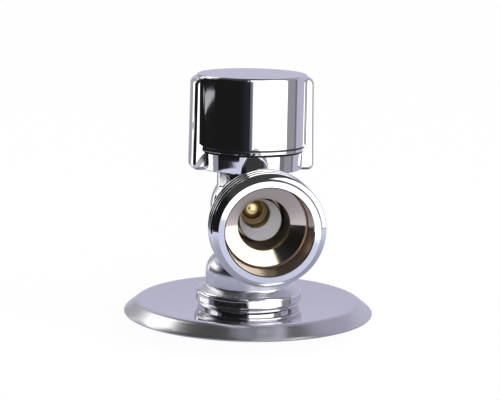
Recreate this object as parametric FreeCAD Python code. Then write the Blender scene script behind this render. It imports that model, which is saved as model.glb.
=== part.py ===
import FreeCAD, Part
import os
import math

# Quarter-turn angle ball valve. Millimetres.
# Origin: centre of the end face of the inlet. +Z runs up the stem axis to
# the knob, and the outlet points along -Y. Drawn closed, knob wings along X.
# The numbers below are proportions; the finished solids are scaled by SCALE,
# which makes the outlet thread a true G 1/2.

V = FreeCAD.Vector

# ---- driving dimensions ------------------------------------------------
OUT_Z = 25.5            # height of the outlet axis
OUT_L = 27.7            # stem axis to outlet face
OUT_R = 10.75           # outlet thread, major radius
SCALE = 10.478 / OUT_R  # G 1/2: 20.955 mm outside diameter
OUT_FACE_R = 9.48       # outer radius of the flat outlet face
OUT_ROOT_R = 9.6
OUT_THREAD_L0 = 19.4    # thread starts
OUT_THREAD_L1 = 26.4    # thread ends, chamfer to the face
TUBE_R = 7.2            # outlet branch behind the thread
CHAMBER_R = 7.9         # round ball chamber
MOUTH_R = 8.21          # outlet mouth
MOUTH_L = 21.37
CONE_L = 19.85          # sealing cone starts
BORE_R = 5.0            # bore that takes ball, seats and retainer
POCKET_R = 3.78

INLET_R = 8.331 / SCALE # inlet thread, major radius (G 3/8)
INLET_ROOT_R = 7.64
INLET_THREAD_Z = 4.7
SHANK_R = 8.0
INLET_BORE_R = 5.5
PORT_R = 2.8

LIP_R = 10.15           # lower edge of the flange
BEAD_R = 10.6           # flange bead
BARREL_R = 8.62
NECK_R = 6.65
NECK_TOP = 42.0
GLAND_R = 4.6           # counterbore with the gland thread
GLAND_FLOOR = 35.5
STEM_BORE_R = 3.08

BALL_R = 4.9
SEAT_R = 4.96
SEAT_SPHERE_R = 4.96
BALL_PORT_R = 2.6
SLOT_W = 2.0
SLOT_Z = 29.15

STEM_R = 2.99
STEM_GROOVE_R = 2.05
COLLAR_R = 4.4
TONGUE_W = 1.9
TONGUE_R = 2.42
SPLINES = 20
SPLINE_TIP = 2.95
SPLINE_ROOT = 2.55
SPLINE_Z0 = 44.8
SPLINE_Z1 = 49.0
O_RING_WIRE = 0.48
O_RING_R = 2.56
O_RING_Z = (32.1, 34.1)

KNOB_R = 10.9           # drum
KNOB_SKIRT_R = 10.35    # recessed band under the drum
KNOB_SKIRT_R0 = 10.2    # its lower end
KNOB_Z0 = 33.3
KNOB_LIP_Z = 36.7       # upper edge of the recessed band
KNOB_TOP = 51.87
KNOB_INNER_R = 9.0
WING_R = 12.15
WING_T = 8.0
WING_TOP = 51.3

LUG_R = 8.4             # quarter-turn stop on the neck
STOP_R0 = 7.0
STOP_A0 = 112.2
STOP_A1 = 337.8

PLATE_R = 24.82
PLATE_HOLE_R = 8.66
PLATE_RIM_Z = 4.1
PLATE_T = 0.5


# ---- helpers -----------------------------------------------------------
def face_of(edges):
    return Part.Face(Part.Wire(edges))


def path(points):
    """Edges of a closed outline. An entry is (a, b) for a corner, or
    (a, b, ma, mb) for a corner reached by an arc through (ma, mb)."""
    out = []
    n = len(points)
    for i in range(n):
        p = points[i]
        q = points[(i + 1) % n]
        a = V(p[0], 0, p[1])
        b = V(q[0], 0, q[1])
        if len(q) == 4:
            out.append(Part.Arc(a, V(q[2], 0, q[3]), b).toShape())
        else:
            out.append(Part.makeLine(a, b))
    return out


def turn_z(points):
    """Solid of revolution about Z from (radius, z) points."""
    return face_of(path(points)).revolve(V(0, 0, 0), V(0, 0, 1), 360)


def turn_y(points):
    """Solid of revolution about the outlet axis from (distance, radius)
    points, where distance runs from the stem axis towards the outlet."""
    s = face_of(path([(p[1], p[0]) if len(p) == 2 else (p[1], p[0], p[3], p[2]) for p in points]))
    s = s.revolve(V(0, 0, 0), V(0, 0, 1), 360)
    s.rotate(V(0, 0, 0), V(1, 0, 0), 90)
    s.translate(V(0, 0, OUT_Z))
    return s


def cyl_z(r, z0, z1):
    return Part.makeCylinder(r, z1 - z0, V(0, 0, z0), V(0, 0, 1))


def box(x0, x1, y0, y1, z0, z1):
    return Part.makeBox(x1 - x0, y1 - y0, z1 - z0, V(x0, y0, z0))


def sector(r0, r1, a0, a1, z0, z1):
    """Part of a ring between two angles, in degrees from +X."""
    def pt(r, a):
        t = math.radians(a)
        return V(r * math.cos(t), r * math.sin(t), z0)
    am = (a0 + a1) / 2.0
    e = [Part.Arc(pt(r0, a0), pt(r0, am), pt(r0, a1)).toShape(),
         Part.makeLine(pt(r0, a1), pt(r1, a1)),
         Part.Arc(pt(r1, a1), pt(r1, am), pt(r1, a0)).toShape(),
         Part.makeLine(pt(r1, a0), pt(r0, a0))]
    return face_of(e).extrude(V(0, 0, z1 - z0))


def try_fillet(shape, radius, pick):
    """Fillet the edges that pick() accepts, where the kernel can."""
    edges = [e for e in shape.Edges if pick(e)]
    if not edges:
        return shape
    try:
        s = shape.makeFillet(radius, edges)
        if s.isValid() and abs(s.Volume - shape.Volume) < 0.05 * shape.Volume:
            return s
    except Exception:
        pass
    return shape


def spline_wire(tip, root, z):
    """Outline of the splined head: flat-topped teeth between round-bottomed
    grooves."""
    pts = []
    for i in range(SPLINES):
        a = 2 * math.pi * i / SPLINES
        h = math.pi / SPLINES
        for da, r in ((-0.58 * h, root), (-0.28 * h, tip), (0.28 * h, tip), (0.58 * h, root)):
            pts.append(V(r * math.cos(a + da), r * math.sin(a + da), z))
    pts.append(pts[0])
    return Part.makePolygon(pts)


def one_solid(s):
    s = s.removeSplitter()
    if s.ShapeType != "Solid" and len(s.Solids) == 1:
        s = s.Solids[0]
    return s


parts = {}

# ---- valve body: one brass forging, turned and threaded -----------------
column = turn_z([
    (0, 0), (INLET_ROOT_R, 0), (INLET_R, 0.72), (INLET_R, INLET_THREAD_Z),
    (SHANK_R, INLET_THREAD_Z + 0.35), (SHANK_R, 5.95),
    (LIP_R - 0.2, 5.95), (LIP_R, 6.15, LIP_R - 0.0586, 6.0086),
    (LIP_R, 6.3), (LIP_R - 0.06, 6.4), (BEAD_R - 0.16, 6.72),
    (BEAD_R, 7.1, BEAD_R - 0.04, 6.9), (BEAD_R - 0.02, 8.0),
    (BEAD_R - 0.76, 9.12, BEAD_R - 0.17, 8.72),
    (BARREL_R + 0.5, 9.5, BARREL_R + 0.93, 9.27),
    (BARREL_R, 10.15, BARREL_R + 0.13, 9.73),
    (BARREL_R - 0.02, 12.3),
    (NECK_R + 0.25, 15.75, 8.12, 14.35),
    (NECK_R, 16.4, NECK_R + 0.05, 16.02),
    (NECK_R, NECK_TOP - 0.5), (NECK_R - 0.5, NECK_TOP), (0, NECK_TOP)])
chamber = Part.makeSphere(CHAMBER_R, V(0, 0, OUT_Z))
branch = turn_y([
    (0, 0), (0, TUBE_R), (13.6, TUBE_R),
    (15.0, TUBE_R + 0.5, 14.35, TUBE_R + 0.12),
    (17.0, 9.25), (17.8, OUT_ROOT_R, 17.33, 9.52),
    (OUT_THREAD_L0, OUT_ROOT_R), (OUT_THREAD_L0 + 0.95, OUT_R),
    (OUT_THREAD_L1, OUT_R), (OUT_L, OUT_FACE_R), (OUT_L, 0)])
lug = sector(NECK_R - 0.6, LUG_R, 70, 110, 37.4, 40.4)

body = column.fuse([chamber, branch])
body = one_solid(body)
body = try_fillet(body, 0.7, lambda e: (
    10.0 < e.BoundBox.Center.z < 34.0 and e.BoundBox.YMin > -8.6
    and e.BoundBox.ZMin > 16.6 and e.BoundBox.ZMax < 34.0
    and e.BoundBox.YMax - e.BoundBox.YMin < 17.0
    and not e.isClosed()))
body = body.fuse(lug)

inlet_cut = turn_z([
    (0, -1), (INLET_BORE_R + 0.5, -1), (INLET_BORE_R + 0.5, 0), (INLET_BORE_R, 0.5),
    (INLET_BORE_R, 13.6), (PORT_R, 15.9), (PORT_R, 24.0), (0, 24.0)])
outlet_cut = turn_y([
    (-5.2, 0), (-5.2, POCKET_R), (-4.02, BORE_R), (CONE_L, BORE_R),
    (MOUTH_L - 0.3, MOUTH_R - 0.46), (MOUTH_L, MOUTH_R - 0.2, MOUTH_L - 0.13, MOUTH_R - 0.29),
    (OUT_L - 0.22, MOUTH_R), (OUT_L, MOUTH_R + 0.2), (OUT_L + 1, MOUTH_R + 0.2), (OUT_L + 1, 0)])
stem_cut = turn_z([
    (0, 26.0), (STEM_BORE_R, 26.0), (STEM_BORE_R, GLAND_FLOOR), (GLAND_R, GLAND_FLOOR),
    (GLAND_R, NECK_TOP - 0.4), (GLAND_R + 0.4, NECK_TOP), (GLAND_R + 0.4, NECK_TOP + 1),
    (0, NECK_TOP + 1)])
body = body.cut([inlet_cut, outlet_cut, stem_cut])
parts["valve_body"] = one_solid(body)

# ---- ball: port up from below, turning out through one side -------------
ball = Part.makeSphere(BALL_R, V(0, 0, OUT_Z))
ball = ball.cut([
    cyl_z(BALL_PORT_R, OUT_Z - 6, OUT_Z),
    Part.makeSphere(BALL_PORT_R, V(0, 0, OUT_Z)),
    Part.makeCylinder(BALL_PORT_R, 6, V(0, 0, OUT_Z), V(-1, 0, 0)),
    box(-SLOT_W / 2, SLOT_W / 2, -6, 6, SLOT_Z, OUT_Z + 6)])
parts["ball"] = one_solid(ball)

# ---- seats ---------------------------------------------------------------
ring = turn_y([(2.6, 2.65), (2.6, SEAT_R), (5.1, SEAT_R), (5.1, 2.65)])
parts["outlet_seat"] = one_solid(ring.cut(Part.makeSphere(SEAT_SPHERE_R, V(0, 0, OUT_Z))))
rear = turn_y([(-2.6, 2.0), (-2.6, SEAT_R), (-4.0, SEAT_R), (-5.15, POCKET_R - 0.01), (-5.15, 2.0)])
parts["rear_seat"] = one_solid(rear.cut(Part.makeSphere(SEAT_SPHERE_R, V(0, 0, OUT_Z))))

# ---- seat retainer: bush screwed into the bore ---------------------------
parts["seat_retainer"] = one_solid(turn_y([
    (5.13, 2.64), (5.13, SEAT_R), (10.1, SEAT_R), (10.5, SEAT_R - 0.4), (10.5, 4.15),
    (15.1, 4.15), (15.3, 4.0), (15.3, 3.95), (8.7, 2.8)]))

# ---- stem ----------------------------------------------------------------
w = O_RING_WIRE + 0.14
stem_profile = [(0, 30.62), (STEM_R - 0.25, 30.62), (STEM_R, 30.87)]
for zc in O_RING_Z:
    stem_profile += [(STEM_R, zc - w), (STEM_GROOVE_R, zc - w), (STEM_GROOVE_R, zc + w), (STEM_R, zc + w)]
stem_profile += [
    (STEM_R, 36.28), (COLLAR_R, 36.28), (COLLAR_R, 37.38), (STEM_R, 37.38),
    (STEM_R, SPLINE_Z0 - 0.5), (SPLINE_ROOT - 0.1, SPLINE_Z0 - 0.35),
    (SPLINE_ROOT - 0.1, SPLINE_Z0), (0, SPLINE_Z0)]
stem = turn_z(stem_profile)
tongue = box(-TONGUE_W / 2, TONGUE_W / 2, -4, 4, SLOT_Z + 0.1, 31.0).common(cyl_z(TONGUE_R, 28.0, 31.0))
head = Part.Face(spline_wire(SPLINE_TIP, SPLINE_ROOT, SPLINE_Z0 - 0.05)).extrude(V(0, 0, SPLINE_Z1 - SPLINE_Z0 + 0.05))
head = head.common(turn_z([
    (0, SPLINE_Z0 - 1), (SPLINE_TIP + 0.1, SPLINE_Z0 - 1), (SPLINE_TIP + 0.1, SPLINE_Z1 - 0.5),
    (SPLINE_ROOT - 0.1, SPLINE_Z1), (0, SPLINE_Z1)]))
stem = stem.fuse([tongue, head])
parts["stem"] = one_solid(stem)

# ---- stem seals and washers ------------------------------------------------
for name, zc in (("stem_o_ring_lower", O_RING_Z[0]), ("stem_o_ring_upper", O_RING_Z[1])):
    parts[name] = Part.makeTorus(O_RING_R, O_RING_WIRE, V(0, 0, zc), V(0, 0, 1))
parts["stem_washer_lower"] = one_solid(turn_z([(3.06, 35.52), (4.5, 35.52), (4.5, 36.22), (3.06, 36.22)]))
parts["stem_washer_upper"] = one_solid(turn_z([(3.06, 37.44), (4.5, 37.44), (4.5, 38.04), (3.06, 38.04)]))

# ---- gland nut: screwed into the neck ---------------------------------------
hexagon = []
for i in range(7):
    t = math.radians(60 * i + 30)
    hexagon.append(V(5.5 * math.cos(t), 5.5 * math.sin(t), 42.06))
hex_head = Part.Face(Part.makePolygon(hexagon)).extrude(V(0, 0, 2.0))
hex_head = hex_head.common(turn_z([
    (0, 42.0), (5.6, 42.0), (5.6, 43.72), (4.9, 44.1), (0, 44.1)]))
nut = turn_z([(0, 38.07), (GLAND_R - 0.45, 38.07), (GLAND_R - 0.04, 38.45),
              (GLAND_R - 0.04, 42.06), (0, 42.06)]).fuse(hex_head)
nut = nut.cut(cyl_z(3.06, 37.0, 45.0))
parts["gland_nut"] = one_solid(nut)

# ---- knob shell: drum with two grip wings --------------------------------
drum = turn_z([
    (0, KNOB_Z0), (KNOB_SKIRT_R0 - 0.2, KNOB_Z0), (KNOB_SKIRT_R0, KNOB_Z0 + 0.2),
    (KNOB_SKIRT_R, KNOB_LIP_Z), (KNOB_SKIRT_R - 0.2, KNOB_LIP_Z + 0.32),
    (KNOB_SKIRT_R - 0.2, KNOB_LIP_Z + 0.46), (KNOB_R - 0.16, KNOB_LIP_Z + 0.46),
    (KNOB_R - 0.04, KNOB_LIP_Z + 0.58), (KNOB_R - 0.04, KNOB_LIP_Z + 1.02),
    (KNOB_R - 0.18, KNOB_LIP_Z + 1.22), (KNOB_R - 0.18, KNOB_LIP_Z + 1.28),
    (KNOB_R, KNOB_LIP_Z + 1.42),
    (KNOB_R, KNOB_TOP - 0.55),
    (KNOB_R - 0.55, KNOB_TOP, KNOB_R - 0.16, KNOB_TOP - 0.16),
    (0, KNOB_TOP)])
wing = turn_z([
    (9.6, KNOB_Z0), (WING_R - 0.8, KNOB_Z0),
    (WING_R + 0.22, KNOB_Z0 + 1.05, WING_R - 0.06, KNOB_Z0 + 0.31),
    (WING_R - 0.02, WING_TOP - 1.35),
    (WING_R - 1.3, WING_TOP, WING_R - 0.39, WING_TOP - 0.39), (9.6, WING_TOP)])
wing = wing.common(box(8.0, 14.0, -WING_T / 2, WING_T / 2, KNOB_Z0 - 1, WING_TOP + 1))
wing = try_fillet(wing, 0.7, lambda e: (
    abs(e.BoundBox.YMin) > WING_T / 2 - 0.05 and abs(e.BoundBox.YMax) > WING_T / 2 - 0.05
    and e.BoundBox.XMax > 10.4))
wing2 = wing.copy()
wing2.rotate(V(0, 0, 0), V(0, 0, 1), 180)
shell = one_solid(drum.fuse([wing, wing2]))
shell = try_fillet(shell, 1.0, lambda e: (
    abs(e.BoundBox.XMin - e.BoundBox.XMax) < 0.6 and e.BoundBox.ZLength > 8.0
    and 9.3 < abs(e.BoundBox.Center.x) < 11.0 and 3.6 < abs(e.BoundBox.Center.y) < 4.3))
shell = try_fillet(shell, 0.6, lambda e: (
    abs(e.BoundBox.XMin - e.BoundBox.XMax) < 0.4 and 2.2 < e.BoundBox.ZLength < 4.0
    and e.BoundBox.ZMax < KNOB_LIP_Z + 0.1
    and 9.0 < abs(e.BoundBox.Center.x) < 10.6 and 3.6 < abs(e.BoundBox.Center.y) < 4.3))
hollow = turn_z([
    (0, KNOB_Z0 - 1), (KNOB_INNER_R + 0.15, KNOB_Z0 - 1), (KNOB_INNER_R + 0.15, KNOB_Z0 + 0.4),
    (KNOB_INNER_R, KNOB_Z0 + 0.7), (KNOB_INNER_R, 50.06), (0, 50.06)])
shell = shell.cut(hollow)
for sx in (-1, 1):
    key = box(-0.6, 0.6, -0.6, 0.6, 41.2, 50.4)
    key.translate(V(sx * (KNOB_INNER_R - 0.1), 0, 0))
    shell = shell.fuse(key)
parts["knob_shell"] = one_solid(shell)

# ---- knob insert: splined hub and quarter-turn stop -----------------------
insert = turn_z([(0, 46.0), (8.95, 46.0), (8.95, 50.0), (0, 50.0)])
insert = insert.fuse([
    turn_z([(0, 44.5), (4.6, 44.5), (4.6, 46.0), (0, 46.0)]),
    sector(STOP_R0, 8.95, STOP_A0, STOP_A1, 36.7, 46.0)])
socket = Part.Face(spline_wire(SPLINE_TIP + 0.03, SPLINE_ROOT + 0.03, 44.0)).extrude(V(0, 0, 5.15))
insert = insert.cut([
    socket,
    cyl_z(3.1, 43.0, SPLINE_Z0 - 0.02),
    box(-9.6, -8.25, -0.66, 0.66, 30.0, 51.0),
    box(8.25, 9.6, -0.66, 0.66, 30.0, 51.0)])
parts["knob_insert"] = one_solid(insert)

# ---- wall plate: one pressed sheet -----------------------------------------
Z = PLATE_RIM_Z
outer = [
    (PLATE_R - 0.42, Z), (PLATE_R - 0.2, Z), (PLATE_R, Z + 0.3, PLATE_R - 0.055, Z + 0.1),
    (PLATE_R - 0.7, Z + 0.95, PLATE_R - 0.27, Z + 0.59),
    (PLATE_R - 1.92, Z + 1.92),
    (PLATE_R - 3.2, Z + 2.5, PLATE_R - 2.55, Z + 2.34),
    (PLATE_R - 4.6, Z + 2.4, PLATE_R - 3.9, Z + 2.51),
    (PLATE_HOLE_R + 1.6, Z + 1.4), (PLATE_HOLE_R + 0.15, Z + 1.28), (PLATE_HOLE_R, Z + 1.15)]
inner = [
    (PLATE_HOLE_R, Z + 1.28 - PLATE_T), (PLATE_HOLE_R + 1.6, Z + 1.4 - PLATE_T),
    (PLATE_R - 4.6, Z + 2.4 - PLATE_T),
    (PLATE_R - 3.35, Z + 2.5 - PLATE_T, PLATE_R - 3.95, Z + 2.5 - PLATE_T),
    (PLATE_R - 2.22, Z + 1.92 - PLATE_T * 0.86, PLATE_R - 2.78, Z + 2.34 - PLATE_T)]
parts["wall_plate"] = one_solid(turn_z(outer + inner))

# ---- export ------------------------------------------------------------------
os.makedirs("parts", exist_ok=True)
for name, s in parts.items():
    s = s.copy()
    s.scale(SCALE, V(0, 0, 0))
    ok = s.isValid() and s.ShapeType == "Solid"
    b = s.BoundBox
    print("%-18s %-7s valid=%s vol=%9.3f  x[%.2f %.2f] y[%.2f %.2f] z[%.2f %.2f]" % (
        name, s.ShapeType, ok, s.Volume, b.XMin, b.XMax, b.YMin, b.YMax, b.ZMin, b.ZMax))
    s.exportStep("parts/%s.step" % name)
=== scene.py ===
import bpy
import math
import numpy as np
from mathutils import Matrix, Vector


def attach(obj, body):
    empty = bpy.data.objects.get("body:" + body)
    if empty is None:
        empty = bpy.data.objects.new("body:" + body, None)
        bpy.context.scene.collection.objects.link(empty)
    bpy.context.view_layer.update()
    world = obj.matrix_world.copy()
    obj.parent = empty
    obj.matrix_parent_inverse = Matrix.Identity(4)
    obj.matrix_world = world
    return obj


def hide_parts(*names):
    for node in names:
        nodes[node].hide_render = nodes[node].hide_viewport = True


# Looks of the angle ball valve. Metres, in the model's own frame:
# origin at the inlet's end face, +Z up to the knob, outlet along -Y.

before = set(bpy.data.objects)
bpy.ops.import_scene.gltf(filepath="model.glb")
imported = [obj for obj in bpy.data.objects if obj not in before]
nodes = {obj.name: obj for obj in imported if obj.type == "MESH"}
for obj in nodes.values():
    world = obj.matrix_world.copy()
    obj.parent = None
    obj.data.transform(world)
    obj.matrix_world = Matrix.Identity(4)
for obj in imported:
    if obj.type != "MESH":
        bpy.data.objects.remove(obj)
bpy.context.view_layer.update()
MM = 0.001

# ------------------------------------------------------------------ camera
THETA = 0.1365          # the outlet points this far right of the viewer
PITCH = 0.1745
ROLL = 0.0182
DIST = 0.32760
HEIGHT = 0.08376
LENS = 123.84

cam_data = bpy.data.cameras.new("camera")
cam_data.lens = LENS
cam_data.sensor_width = 36.0
cam_data.sensor_fit = "HORIZONTAL"
cam_data.clip_start = 0.01
cam_data.clip_end = 10.0
cam = bpy.data.objects.new("camera", cam_data)
bpy.context.scene.collection.objects.link(cam)
fwd = Vector((math.sin(THETA) * math.cos(PITCH), math.cos(THETA) * math.cos(PITCH), -math.sin(PITCH)))
right = Vector((math.cos(THETA), -math.sin(THETA), 0.0))
up = right.cross(fwd)
r2 = right * math.cos(ROLL) + up * math.sin(ROLL)
u2 = -right * math.sin(ROLL) + up * math.cos(ROLL)
m = Matrix((r2, u2, -fwd)).transposed().to_4x4()
m.translation = Vector((-DIST * math.sin(THETA), -DIST * math.cos(THETA), HEIGHT))
cam.matrix_world = m
bpy.context.scene.camera = cam
bpy.context.scene.view_settings.view_transform = "Standard"
bpy.context.scene.view_settings.look = "None"


# ------------------------------------------------------------------ node helpers
class Tree:
    """Small helper to write shader node trees."""

    def __init__(self, tree):
        self.t = tree
        self.t.nodes.clear()
        self.x = 0

    def node(self, kind, **props):
        n = self.t.nodes.new(kind)
        self.x += 180
        n.location = (self.x, 0)
        for k, v in props.items():
            setattr(n, k, v)
        return n

    def put(self, sock, value):
        if hasattr(value, "is_output") or isinstance(value, bpy.types.NodeSocket):
            self.t.links.new(value, sock)
        elif value is not None:
            sock.default_value = value

    def math(self, op, a, b=None, c=None, clamp=False):
        n = self.node("ShaderNodeMath", operation=op, use_clamp=clamp)
        self.put(n.inputs[0], a)
        if b is not None:
            self.put(n.inputs[1], b)
        if c is not None:
            self.put(n.inputs[2], c)
        return n.outputs[0]

    def step(self, v, lo, hi):
        """0 under lo, 1 over hi, smooth between."""
        n = self.node("ShaderNodeMapRange", interpolation_type="SMOOTHSTEP", clamp=True)
        self.put(n.inputs["Value"], v)
        n.inputs["From Min"].default_value = lo
        n.inputs["From Max"].default_value = hi
        n.inputs["To Min"].default_value = 0.0
        n.inputs["To Max"].default_value = 1.0
        return n.outputs["Result"]

    def window(self, v, lo, hi, soft_lo, soft_hi=None):
        """1 between lo and hi, 0 outside, with soft edges centred on them."""
        soft_hi = soft_lo if soft_hi is None else soft_hi
        a = self.step(v, lo - soft_lo / 2, lo + soft_lo / 2)
        b = self.step(v, hi - soft_hi / 2, hi + soft_hi / 2)
        return self.math("MULTIPLY", a, self.math("SUBTRACT", 1.0, b))

    def mix(self, fac, a, b, blend="MIX"):
        n = self.node("ShaderNodeMix", data_type="RGBA", blend_type=blend)
        self.put(n.inputs[0], fac)
        self.put(n.inputs[6], a)
        self.put(n.inputs[7], b)
        return n.outputs[2]

    def noise(self, vec, scale, detail=2.0, rough=0.5, distortion=0.0):
        n = self.node("ShaderNodeTexNoise")
        self.put(n.inputs["Vector"], vec)
        n.inputs["Scale"].default_value = scale
        n.inputs["Detail"].default_value = detail
        n.inputs["Roughness"].default_value = rough
        n.inputs["Distortion"].default_value = distortion
        return n.outputs["Fac"]

    def ramp(self, fac, stops, interp="LINEAR"):
        n = self.node("ShaderNodeValToRGB")
        n.color_ramp.interpolation = interp
        els = n.color_ramp.elements
        while len(els) > 1:
            els.remove(els[-1])
        els[0].position = stops[0][0]
        els[0].color = stops[0][1]
        for p, c in stops[1:]:
            e = els.new(p)
            e.color = c
        self.put(n.inputs["Fac"], fac)
        return n.outputs["Color"]


def grey(v, tint=(1.0, 1.0, 1.0)):
    return (v * tint[0], v * tint[1], v * tint[2], 1.0)


LAV = (1.0, 0.975, 1.22)

# ------------------------------------------------------------------ studio
# The sky round the object is a studio: a big soft box to the viewer's right,
# dark flags to the left and overhead, a pale wall behind. It is what the
# chrome shows; the camera sees only the pale floor and backdrop.
world = bpy.data.worlds.new("studio")
bpy.context.scene.world = world
world.use_nodes = True
w = Tree(world.node_tree)
co = w.node("ShaderNodeTexCoord").outputs["Generated"]
rot = w.node("ShaderNodeVectorRotate", rotation_type="Z_AXIS")
w.put(rot.inputs["Vector"], co)
rot.inputs["Angle"].default_value = THETA
sep = w.node("ShaderNodeSeparateXYZ")
w.put(sep.inputs[0], rot.outputs[0])
dx, dy, dz = sep.outputs
# azimuth in degrees from the viewer, positive to the viewer's right
az = w.math("MULTIPLY", w.math("ARCTAN2", dx, w.math("MULTIPLY", dy, -1.0)), 180 / math.pi)
el = w.math("MULTIPLY", w.math("ARCSINE", dz), 180 / math.pi)

sky = w.node("ShaderNodeRGB").outputs[0]
sky.default_value = grey(0.012)
# wall behind: pale lavender, to both sides of 180 degrees
back = w.math("MAXIMUM", w.step(az, 104, 110), w.math("SUBTRACT", 1.0, w.step(az, -161, -157)))
sky = w.mix(back, sky, grey(0.56, LAV))
# at the wall's left end: a grey screen and a narrow white one
sky = w.mix(w.window(az, -159, -141, 3.0), sky, grey(0.40, (1.0, 0.99, 1.05)))
sky = w.mix(w.window(az, -141, -133, 2.0), sky, grey(1.5))
# grey flag between soft box and wall
sky = w.mix(w.window(az, 79, 107, 2.0), sky, grey(0.34, (1.0, 0.99, 1.08)))
sky = w.mix(w.window(az, 102, 106, 1.5), sky, grey(0.17, (1.0, 0.99, 1.1)))
# soft box, with a faint spill of light at its left edge
sky = w.mix(w.window(az, -15, 79, 22.0, 2.5), sky, grey(0.026, (0.85, 1.0, 1.35)))
sky = w.mix(w.window(az, -2.5, 79, 3.0, 2.5), sky, grey(0.22, (0.95, 1.0, 1.15)))
box_l = w.step(w.math("ADD", az, w.math("MULTIPLY", w.step(el, 10, 60), 9.0)), 1.0, 5.0)
box_r = w.math("SUBTRACT", 1.0, w.step(w.math("ADD", az, w.math("MULTIPLY", w.math("SUBTRACT", 1.0, w.step(el, -13, -8.5)), 12.0)), 77.7, 80.2))
box = w.math("MULTIPLY", box_l, box_r)
sky = w.mix(box, sky, grey(1.9))
# low white card at the left, under the flag
low = w.math("MULTIPLY", w.window(az, -136, -92, 3.0), w.math("SUBTRACT", 1.0, w.step(el, -9.6, -9.0)))
sky = w.mix(low, sky, grey(1.3))
low2 = w.math("MULTIPLY", w.window(az, -92, -77, 3.0), w.math("SUBTRACT", 1.0, w.step(el, -9.6, -9.0)))
sky = w.mix(low2, sky, grey(0.34, LAV))
# a narrow pale strip over the low card
slant = w.math("MULTIPLY", w.math("MAXIMUM", w.math("SUBTRACT", -6.55, el), 0.0), 50.0)
strip = w.math("MULTIPLY", w.window(w.math("ADD", az, slant), -123, -83, 2.0, 5.0), w.window(el, -7.10, -6.36, 0.07))
sky = w.mix(strip, sky, grey(0.52, (1.0, 0.99, 1.10)))
# left, above the horizon: a pale panel with a white card in it
panel_l = w.math("MULTIPLY", w.window(az, -138, -82, 8.0), w.window(el, 7, 46, 5.0))
sky = w.mix(panel_l, sky, grey(0.22, LAV))
card_l = w.math("MULTIPLY", w.window(az, -133, -97, 4.0), w.window(el, 8, 24, 4.0))
sky = w.mix(card_l, sky, grey(1.5))
# overhead: dark above about 30 degrees
top = w.math("MULTIPLY", w.step(el, 30, 44), w.math("SUBTRACT", 1.0, box))
top = w.math("MAXIMUM", top, w.step(el, 57, 63))
sky = w.mix(top, sky, grey(0.06))
# small lamp high at the back left, grey panel high at the back right
lamp = w.math("MULTIPLY", w.window(az, -150, -115, 8.0), w.window(el, 33, 52, 6.0))
sky = w.mix(lamp, sky, grey(2.0))
panel = w.math("MULTIPLY", w.window(az, 100, 170, 20.0), w.window(el, 30, 60, 12.0))
sky = w.mix(panel, sky, grey(0.40, LAV))
bg = w.node("ShaderNodeBackground")
w.put(bg.inputs["Color"], sky)
bg.inputs["Strength"].default_value = 1.0
out = w.node("ShaderNodeOutputWorld")
w.t.links.new(bg.outputs[0], out.inputs["Surface"])


def emitter(name, color, strength=1.0):
    mat = bpy.data.materials.new(name)
    mat.use_nodes = True
    t = Tree(mat.node_tree)
    e = t.node("ShaderNodeEmission")
    e.inputs["Color"].default_value = color
    e.inputs["Strength"].default_value = strength
    o = t.node("ShaderNodeOutputMaterial")
    t.t.links.new(e.outputs[0], o.inputs["Surface"])
    return mat


def grid_object(name, verts, faces, mat=None):
    me = bpy.data.meshes.new(name)
    me.from_pydata(verts, [], faces)
    me.update()
    ob = bpy.data.objects.new(name, me)
    bpy.context.scene.collection.objects.link(ob)
    if mat is not None:
        me.materials.append(mat)
    return ob


def disc(name, r, z, mat, n=96):
    v = [(r * math.cos(2 * math.pi * i / n), r * math.sin(2 * math.pi * i / n), z) for i in range(n)]
    return grid_object(name, v, [tuple(range(n))], mat)


# floor: pale, seen by the camera only, so that the chrome shows the studio
floor_mat = bpy.data.materials.new("floor_pale")
floor_mat.use_nodes = True
t = Tree(floor_mat.node_tree)
em = t.node("ShaderNodeEmission")
em.inputs["Color"].default_value = (1, 1, 1, 1)
em.inputs["Strength"].default_value = 0.93
df = t.node("ShaderNodeBsdfDiffuse")
df.inputs["Color"].default_value = (0.12, 0.12, 0.12, 1)
ad = t.node("ShaderNodeAddShader")
t.t.links.new(em.outputs[0], ad.inputs[0])
t.t.links.new(df.outputs[0], ad.inputs[1])
o = t.node("ShaderNodeOutputMaterial")
t.t.links.new(ad.outputs[0], o.inputs["Surface"])
floor = disc("floor", 3.0, 0.0, floor_mat, 128)
floor.visible_glossy = False
floor.visible_diffuse = False
floor.visible_transmission = False
floor.visible_shadow = False

# backdrop dome, camera only, for the views that look above the floor
dome_mat = emitter("backdrop_pale", (1, 1, 1, 1), 1.0)
bpy.ops.mesh.primitive_uv_sphere_add(segments=48, ring_count=24, radius=3.2)
dome = bpy.context.object
dome.name = "backdrop"
dome.data.materials.append(dome_mat)
dome.visible_glossy = False
dome.visible_diffuse = False
dome.visible_transmission = False
dome.visible_shadow = False

# table card: the pale table top as the chrome shows it, ending a hand's width out, with a painted shadow: it glows
# less within about 3 to 12.5 cm of the object
card_mat = bpy.data.materials.new("table_card")
card_mat.use_nodes = True
t = Tree(card_mat.node_tree)
em = t.node("ShaderNodeEmission")
em.inputs["Color"].default_value = (0.66, 0.69, 0.86, 1)
ln = t.node("ShaderNodeVectorMath", operation="LENGTH")
t.put(ln.inputs[0], t.node("ShaderNodeTexCoord").outputs["Object"])
# painted shadow of the object on the table: the glow rises from 0.55 near the axis to 1.12 at 12.5 cm
t.put(em.inputs["Strength"], t.math("ADD", 0.55, t.math("MULTIPLY", t.step(ln.outputs["Value"], 0.030, 0.125), 0.57)))
o = t.node("ShaderNodeOutputMaterial")
t.t.links.new(em.outputs[0], o.inputs["Surface"])
card = disc("table_card", 0.1475, 0.00002, card_mat, 96)
front = []
for a, b in ((-0.060, 0.120), (0.050, 0.132), (0.0326, 0.173), (0.024, 0.193), (-0.060, 0.193)):
    # a to the viewer's right, b towards the viewer
    front.append((a * math.cos(THETA) - b * math.sin(THETA), -a * math.sin(THETA) - b * math.cos(THETA), 0.00003))
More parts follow.
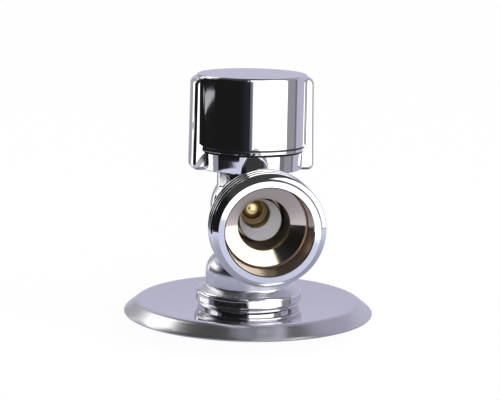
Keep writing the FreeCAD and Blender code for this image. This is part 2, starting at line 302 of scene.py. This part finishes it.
tongue = grid_object("table_card_front", front, [(0, 1, 2, 3, 4)], card_mat)
for c_ in (card, tongue):
    c_.visible_camera = False
    c_.visible_diffuse = False
    c_.visible_transmission = False
    c_.visible_shadow = False

# soft fill from the front for the matt parts deep in the outlet
fill_data = bpy.data.lights.new("fill", "AREA")
fill_data.shape = "DISK"
fill_data.size = 0.10
fill_data.energy = 1.6
fill = bpy.data.objects.new("fill", fill_data)
bpy.context.scene.collection.objects.link(fill)
fill_pos = Vector((-0.04, -0.50, 0.075))
fill.matrix_world = Matrix.Translation(fill_pos) @ (fill_pos - Vector((0, 0, 0.0248))).to_track_quat("Z", "Y").to_matrix().to_4x4()
fill.visible_camera = False
fill.visible_glossy = False


# ------------------------------------------------------------------ finishes
def metal(name, base, rough, tint=None, bump=0.0, bump_scale=900.0, rough_var=0.03, wave=0.0, wave_scale=60.0, metallic=1.0, rim=None, coat=0.0):
    """Polished or plated metal: roughness and colour vary slightly, with fine
    bump and an optional slow wave in the surface."""
    mat = bpy.data.materials.new(name)
    mat.use_nodes = True
    t = Tree(mat.node_tree)
    tc = t.node("ShaderNodeTexCoord").outputs["Object"]
    p = t.node("ShaderNodeBsdfPrincipled")
    p.inputs["Metallic"].default_value = metallic
    p.inputs["Coat Weight"].default_value = coat
    p.inputs["Coat Roughness"].default_value = 0.12
    n1 = t.noise(tc, 220.0, 4.0, 0.6)
    col = t.ramp(n1, [(0.3, (base[0] * 0.965, base[1] * 0.965, base[2] * 0.965, 1)), (0.7, (base[0], base[1], base[2], 1))])
    if tint is not None:
        n3 = t.noise(tc, 70.0, 3.0, 0.55)
        col = t.mix(t.step(n3, 0.45, 0.75), col, (tint[0], tint[1], tint[2], 1))
    t.put(p.inputs["Base Color"], col)
    n2 = t.noise(tc, 380.0, 5.0, 0.65)
    r = t.node("ShaderNodeMapRange")
    t.put(r.inputs["Value"], n2)
    r.inputs["From Min"].default_value = 0.3
    r.inputs["From Max"].default_value = 0.7
    r.inputs["To Min"].default_value = max(0.0, rough - rough_var)
    r.inputs["To Max"].default_value = rough + rough_var
    rr = r.outputs["Result"]
    if rim is not None:
        # duller outside a radius: (from, to, added roughness)
        ln = t.node("ShaderNodeVectorMath", operation="LENGTH")
        t.put(ln.inputs[0], tc)
        rr = t.math("ADD", rr, t.math("MULTIPLY", t.step(ln.outputs["Value"], rim[0], rim[1]), rim[2]))
    t.put(p.inputs["Roughness"], rr)
    normal = None
    if wave:
        nw = t.noise(tc, wave_scale, 1.0, 0.4)
        b = t.node("ShaderNodeBump")
        b.inputs["Strength"].default_value = 1.0
        b.inputs["Distance"].default_value = wave
        t.put(b.inputs["Height"], nw)
        normal = b.outputs[0]
    if bump:
        nb = t.noise(tc, bump_scale, 3.0, 0.6)
        b = t.node("ShaderNodeBump")
        b.inputs["Strength"].default_value = 1.0
        b.inputs["Distance"].default_value = bump
        t.put(b.inputs["Height"], nb)
        if normal is not None:
            t.put(b.inputs["Normal"], normal)
        normal = b.outputs[0]
    if normal is not None:
        t.put(p.inputs["Normal"], normal)
    o = t.node("ShaderNodeOutputMaterial")
    t.t.links.new(p.outputs[0], o.inputs["Surface"])
    return mat


def plastic(name, base, rough, sss=0.0, bump=0.0, bump_scale=700.0):
    mat = bpy.data.materials.new(name)
    mat.use_nodes = True
    t = Tree(mat.node_tree)
    tc = t.node("ShaderNodeTexCoord").outputs["Object"]
    p = t.node("ShaderNodeBsdfPrincipled")
    n1 = t.noise(tc, 260.0, 3.0, 0.6)
    t.put(p.inputs["Base Color"], t.ramp(n1, [(0.3, (base[0] * 0.93, base[1] * 0.93, base[2] * 0.93, 1)), (0.7, (base[0], base[1], base[2], 1))]))
    r = t.node("ShaderNodeMapRange")
    t.put(r.inputs["Value"], t.noise(tc, 420.0, 3.0, 0.6))
    r.inputs["To Min"].default_value = rough - 0.06
    r.inputs["To Max"].default_value = rough + 0.06
    t.put(p.inputs["Roughness"], r.outputs["Result"])
    if bump:
        b = t.node("ShaderNodeBump")
        b.inputs["Distance"].default_value = bump
        t.put(b.inputs["Height"], t.noise(tc, bump_scale, 3.0, 0.6))
        t.put(p.inputs["Normal"], b.outputs[0])
    o = t.node("ShaderNodeOutputMaterial")
    t.t.links.new(p.outputs[0], o.inputs["Surface"])
    return mat


CHROME = (0.80, 0.795, 0.81)
chrome_body = metal("chrome_body", CHROME, 0.045, bump=0.000002, bump_scale=1500.0, rough_var=0.02, wave=0.000012, wave_scale=200.0)
chrome_cast = metal("chrome_cast", (0.80, 0.795, 0.83), 0.24, tint=(0.70, 0.70, 0.76), bump=0.000010, bump_scale=1300.0, rough_var=0.06, wave=0.00003, wave_scale=240.0)
chrome_flange = metal("chrome_flange", (0.80, 0.795, 0.82), 0.10, tint=(0.72, 0.72, 0.77), bump=0.000006, bump_scale=1400.0, rough_var=0.04, wave=0.00002, wave_scale=230.0)
chrome_knob = metal("chrome_knob", CHROME, 0.03, rough_var=0.012, wave=0.000004, wave_scale=120.0)
chrome_plate = metal("chrome_plate", (0.78, 0.775, 0.79), 0.05, rough_var=0.015, wave=0.000006, wave_scale=60.0, rim=(0.0208, 0.0228, 0.20))
bore_nickel = metal("bore_nickel", (0.76, 0.645, 0.535), 0.10, bump=0.000001, bump_scale=2500.0)
# bare brass of the bores, darkened further as painted shade in the recesses and on the retainer's front rim
bore_bare_brass_and_shade = metal("bore_bare_brass_and_shade", (0.40, 0.35, 0.30), 0.30, tint=(0.55, 0.40, 0.22), bump=0.000004, bump_scale=2500.0)
funnel_nickel = metal("funnel_nickel", (0.90, 0.90, 0.95), 0.24, bump=0.000002, bump_scale=2500.0, rough_var=0.05, metallic=0.0, coat=0.4)
mouth_wall = metal("mouth_wall", (0.36, 0.31, 0.28), 0.16, tint=(0.50, 0.41, 0.33), bump=0.000002, bump_scale=2500.0)
# near-black metal in the hole behind the funnel: painted shade
hole_painted_shade = metal("hole_painted_shade", (0.10, 0.085, 0.06), 0.30, tint=(0.20, 0.15, 0.09), bump=0.000004, bump_scale=2500.0)
brass = metal("brass_bright", (0.80, 0.61, 0.31), 0.15, bump=0.000002, bump_scale=2500.0)
# near-black metal for the knob's two seams: painted shade
seam_painted_shade = metal("seam_painted_shade", (0.10, 0.10, 0.11), 0.45, bump=0.000002, bump_scale=2500.0)
ptfe = plastic("ptfe_white", (0.90, 0.90, 0.88), 0.45)
rubber = plastic("seal_rubber", (0.02, 0.02, 0.02), 0.5)
nylon = plastic("nylon_moulded", (0.80, 0.80, 0.75), 0.5, bump=0.00001)

# ------------------------------------------------------------------ threads
# The body's mesh with its two thread cylinders opened into helical grooves:
# a full-form pipe thread, 55 degree flanks, rounded crests and roots.
S = 10.478 / 10.75 * MM
OUT_Z = 25.5 * S


def read_mesh(ob):
    """Welded corner positions, triangles and corner normals."""
    me = ob.data
    n = len(me.vertices)
    co = np.empty(n * 3, np.float32)
    me.vertices.foreach_get("co", co)
    co = co.reshape(-1, 3).astype(float)
    tri = np.empty(len(me.loops), np.int32)
    me.loops.foreach_get("vertex_index", tri)
    nl = np.empty(len(me.loops) * 3, np.float32)
    me.corner_normals.foreach_get("vector", nl)
    key, inv = np.unique(np.round(co / 1e-7).astype(np.int64), axis=0, return_inverse=True)
    inv = inv.reshape(-1)
    first = np.zeros(len(key), np.int64)
    first[inv[::-1]] = np.arange(n)[::-1]
    tri = inv[tri].reshape(-1, 3)
    nl = nl.reshape(-1, 3, 3).astype(float)
    ok = (tri[:, 0] != tri[:, 1]) & (tri[:, 1] != tri[:, 2]) & (tri[:, 0] != tri[:, 2])
    return co[first], tri[ok], nl[ok]


def thread_form():
    """Whitworth form over one pitch with a slightly flattened crest:
    (phase, depth as a share of the pitch)."""
    r, a, flat = 0.137329, math.radians(62.5), 0.045
    h = 0.640327 - flat / math.tan(math.radians(27.5))
    half = [(0.0, 0.0)]
    for i in range(5):
        t = a * i / 4
        half.append((flat + r * math.sin(t), r * (1 - math.cos(t))))
    x0, d0 = half[-1]
    x1, d1 = 0.5 - (x0 - flat), h - d0
    half.append(((x0 + x1) / 2, (d0 + d1) / 2))
    for i in range(4, -1, -1):
        t = a * i / 4
        half.append((0.5 - r * math.sin(t), h - r * (1 - math.cos(t))))
    return half + [(1 - f, d) for f, d in half[-2:0:-1]]


def cut_thread(co, tri, nl, frame_of, radius, pitch, env, fade, rmin, cols=300):
    """Replaces the faces of one thread cylinder by a helical surface. env is
    the turned outline (distance, radius) along the axis, fade the depth's
    share at a distance."""
    org, e1, e2, ax = (np.array(v, float) for v in frame_of)
    la, lb = env[0][0], env[-1][0]
    el_, er_ = np.array([e[0] for e in env]), np.array([e[1] for e in env])
    cen = co[tri].mean(1) - org
    fn = np.cross(co[tri[:, 1]] - co[tri[:, 0]], co[tri[:, 2]] - co[tri[:, 0]])
    fn /= np.linalg.norm(fn, axis=1)[:, None] + 1e-20
    cl = cen @ ax
    cr = np.hypot(cen @ e1, cen @ e2)
    gone = (cl > la + 1e-6) & (cl < lb - 1e-7) & (cr > rmin) & (np.abs(fn @ ax) < 0.99)
    keep, knl = tri[~gone], nl[~gone]
    # open edges left behind, in the order of the kept faces
    ed = np.vstack([keep[:, [0, 1]], keep[:, [1, 2]], keep[:, [2, 0]]])
    have = set(map(tuple, ed.tolist()))
    loops = {0: [], 1: []}
    for a, b in have:
        if (b, a) not in have:
            q = co[a] - org
            loops[0 if abs(q @ ax - la) < abs(q @ ax - lb) else 1].append(a)
    form = thread_form()
    n = len(form)
    k0 = int(math.floor(la / pitch)) - 2
    k1 = int(math.ceil(lb / pitch)) + 1
    base = np.array([(k + f) * pitch for k in range(k0, k1) for f, d in form])
    dep = np.array([d * pitch for k in range(k0, k1) for f, d in form])
    lo, hi = la + 0.00004, lb - 0.00004
    pts = []
    idx = np.full((cols + 1, len(base)), -1, np.int64)
    nv = len(co)
    low, high = [], []
    for i in range(cols):
        th = 2 * math.pi * i / cols
        rad = math.cos(th) * e1 + math.sin(th) * e2
        l = base + pitch * i / cols
        low.append(nv + len(pts))
        pts.append(org + ax * lo + rad * np.interp(lo, el_, er_))
        high.append(nv + len(pts))
        pts.append(org + ax * hi + rad * np.interp(hi, el_, er_))
        for j in range(len(base)):
            if l[j] <= lo + 0.00001:
                idx[i, j] = low[-1]
            elif l[j] >= hi - 0.00001:
                idx[i, j] = high[-1]
            else:
                r = min(np.interp(l[j], el_, er_), radius - dep[j] * fade(l[j]))
                idx[i, j] = nv + len(pts)
                pts.append(org + ax * l[j] + rad * r)
    idx[cols, :len(base) - n] = idx[0, n:]
    idx[cols, len(base) - n:] = high[0]
    new = []
    for i in range(cols):
        for j in range(len(base) - 1):
            a, b, c, d = idx[i, j], idx[i + 1, j], idx[i + 1, j + 1], idx[i, j + 1]
            for t3 in ((a, b, c), (a, c, d)):
                if len(set(t3)) == 3:
                    new.append(t3)
    allco = np.vstack([co, np.array(pts)])

    def angle(v):
        q = allco[v] - org
        return math.atan2(q @ e2, q @ e1) % (2 * math.pi)

    def zip_rings(A, B, flip):
        """Triangles between two rings of corners, by angle."""
        A = sorted(set(A), key=angle)
        B = sorted(set(B), key=angle)
        out = []
        i = j = 0
        while i < len(A) or j < len(B):
            ta = angle(A[i + 1]) if i + 1 < len(A) else 2 * math.pi + angle(A[0]) if i < len(A) else 99
            tb = angle(B[j + 1]) if j + 1 < len(B) else 2 * math.pi + angle(B[0]) if j < len(B) else 99
            if ta <= tb:
                out.append((A[i], A[(i + 1) % len(A)], B[j % len(B)]))
                i += 1
            else:
                out.append((A[i % len(A)], B[(j + 1) % len(B)], B[j]))
                j += 1
        return [t[::-1] for t in out] if flip else out

    rim = zip_rings(low, loops[0], True) + zip_rings(high, loops[1], False)
    new = np.array(new, np.int64)
    rim = np.array(rim, np.int64)

    def outward(t):
        f = np.cross(allco[t[:, 1]] - allco[t[:, 0]], allco[t[:, 2]] - allco[t[:, 0]])
        q = allco[t].mean(1) - org
        q = q - np.outer(q @ ax, ax)
        return f, (f * q).sum(1)

    f, s1 = outward(new)
    if np.sum(s1) < 0:
        new = new[:, ::-1]
        f = -f
    vn = np.zeros_like(allco)
    for k in range(3):
        np.add.at(vn, new[:, k], f)
    vn /= np.linalg.norm(vn, axis=1)[:, None] + 1e-20
    g, s2 = outward(rim)
    g /= np.linalg.norm(g, axis=1)[:, None] + 1e-20
    print("thread", len(base), "rows", len(new), "faces; rim", len(rim), "wrong way", int((s2 < 0).sum()), "loops", len(loops[0]), len(loops[1]))
    allt = np.vstack([keep, new, rim])
    alln = np.concatenate([knl, vn[new], np.repeat(g[:, None, :], 3, axis=1)])
    return allco, allt, alln


def make_body():
    co, tri, nl = read_mesh(nodes["valve_body"])
    out_env = [(19.4 * S, 9.6 * S), (20.35 * S, 10.75 * S), (26.4 * S, 10.75 * S), (27.7 * S, 9.48 * S)]
    co, tri, nl = cut_thread(co, tri, nl, ((0, 0, OUT_Z), (1, 0, 0), (0, 0, 1), (0, -1, 0)),
                             10.478 * MM, 1.814 * MM, out_env, lambda l: 1.0, 9.3 * S)
    in_r = 8.331 * MM
    in_env = [(0.0, 7.64 * S), (0.72 * S, in_r), (4.7 * S, in_r), (5.05 * S, 8.0 * S)]
    co, tri, nl = cut_thread(co, tri, nl, ((0, 0, 0), (1, 0, 0), (0, 1, 0), (0, 0, 1)),
                             in_r, 1.337 * MM, in_env, lambda l: min(1.0, max(0.0, (4.9 * S - l) / (1.2 * MM))), 7.0 * S, 260)
    used = np.unique(tri)
    back = np.full(len(co), -1, np.int64)
    back[used] = np.arange(len(used))
    co, tri = co[used], back[tri]
    me = bpy.data.meshes.new("valve_body_threaded")
    me.from_pydata(co.tolist(), [], tri.tolist())
    me.update()
    if len(me.polygons) != len(tri):
        print("dropped faces", len(tri) - len(me.polygons))
    for m_ in (chrome_body, bore_nickel, bore_bare_brass_and_shade, chrome_cast, mouth_wall, chrome_flange):
        me.materials.append(m_)
    cen = co[tri].mean(1)
    l = -cen[:, 1]
    r = np.hypot(cen[:, 0], cen[:, 2] - OUT_Z)
    rz = np.hypot(cen[:, 0], cen[:, 1])
    # the outlet's bore: faces that look towards its axis
    fn = np.cross(co[tri[:, 1]] - co[tri[:, 0]], co[tri[:, 2]] - co[tri[:, 0]])
    fn /= np.linalg.norm(fn, axis=1)[:, None] + 1e-20
    inner = (fn[:, 0] * cen[:, 0] + fn[:, 2] * (cen[:, 2] - OUT_Z)) / (r + 1e-9) < -0.02
    mi = np.zeros(len(tri), np.int32)
    mi[inner & (l > 17.0 * S) & (l < 27.66 * S) & (r < 8.3 * S)] = 1
    mi[inner & (l > 21.4 * S) & (l < 27.5 * S) & (r > 7.9 * S) & (r < 8.3 * S)] = 4
    # the deep bores: bare brass with painted shade
    mi[(l > -6 * S) & (l < 19.8 * S) & (r < 5.05 * S)] = 2
    mi[(rz < 5.9 * S) & (cen[:, 2] < 24 * S)] = 2
    mi[(rz < 4.95 * S) & (cen[:, 2] > 28 * S)] = 2
    mi[(cen[:, 2] > 8.9 * S) & (cen[:, 2] < 17.0 * S) & (rz > 6.0 * S) & (l < 12 * S)] = 3
    mi[(cen[:, 2] > 5.9 * S) & (cen[:, 2] <= 8.9 * S) & (rz > 6.0 * S) & (l < 12 * S)] = 5
    me.polygons.foreach_set("material_index", mi)
    me.polygons.foreach_set("use_smooth", np.ones(len(tri), bool))
    me.normals_split_custom_set(nl.reshape(-1, 3).tolist())
    me.update()
    ob = bpy.data.objects.new("valve_body_threaded", me)
    bpy.context.scene.collection.objects.link(ob)
    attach(ob, "valve")
    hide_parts("valve_body")
    return ob


body = make_body()

FINISH = {
    "valve_body": chrome_body, "knob_shell": chrome_knob, "wall_plate": chrome_plate,
    "seat_retainer": funnel_nickel, "ball": brass, "stem": brass, "gland_nut": brass,
    "outlet_seat": ptfe, "rear_seat": ptfe, "stem_washer_lower": ptfe, "stem_washer_upper": ptfe,
    "stem_o_ring_lower": rubber, "stem_o_ring_upper": rubber, "knob_insert": nylon,
}
for name, mat in FINISH.items():
    ob = nodes[name]
    ob.data.materials.clear()
    ob.data.materials.append(mat)

# the two seams under the knob's drum get a near-black metal: painted shade in the grooves
knob_me = nodes["knob_shell"].data
knob_me.materials.append(seam_painted_shade)
for poly in knob_me.polygons:
    c = poly.center
    if math.hypot(c.x, c.y) < 10.84 * S and (36.74 * S < c.z < 37.18 * S or 37.70 * S < c.z < 38.10 * S) and math.hypot(c.x, c.y) > 9.4 * S:
        poly.material_index = 1

# the retainer is pale in its funnel only: its outside, back end and front rim are bare brass darkened further as
# painted shade, and the hole behind the funnel is near black, painted shade
ret_me = nodes["seat_retainer"].data
ret_me.materials.append(hole_painted_shade)
ret_me.materials.append(bore_bare_brass_and_shade)
for poly in ret_me.polygons:
    c = poly.center
    r_ = math.hypot(c.x, c.z - OUT_Z)
    if -c.y < 8.65 * S and r_ < 2.9 * S:
        poly.material_index = 1
    elif r_ > 4.05 * S or -c.y < 5.2 * S or -c.y > 15.02 * S:
        poly.material_index = 2
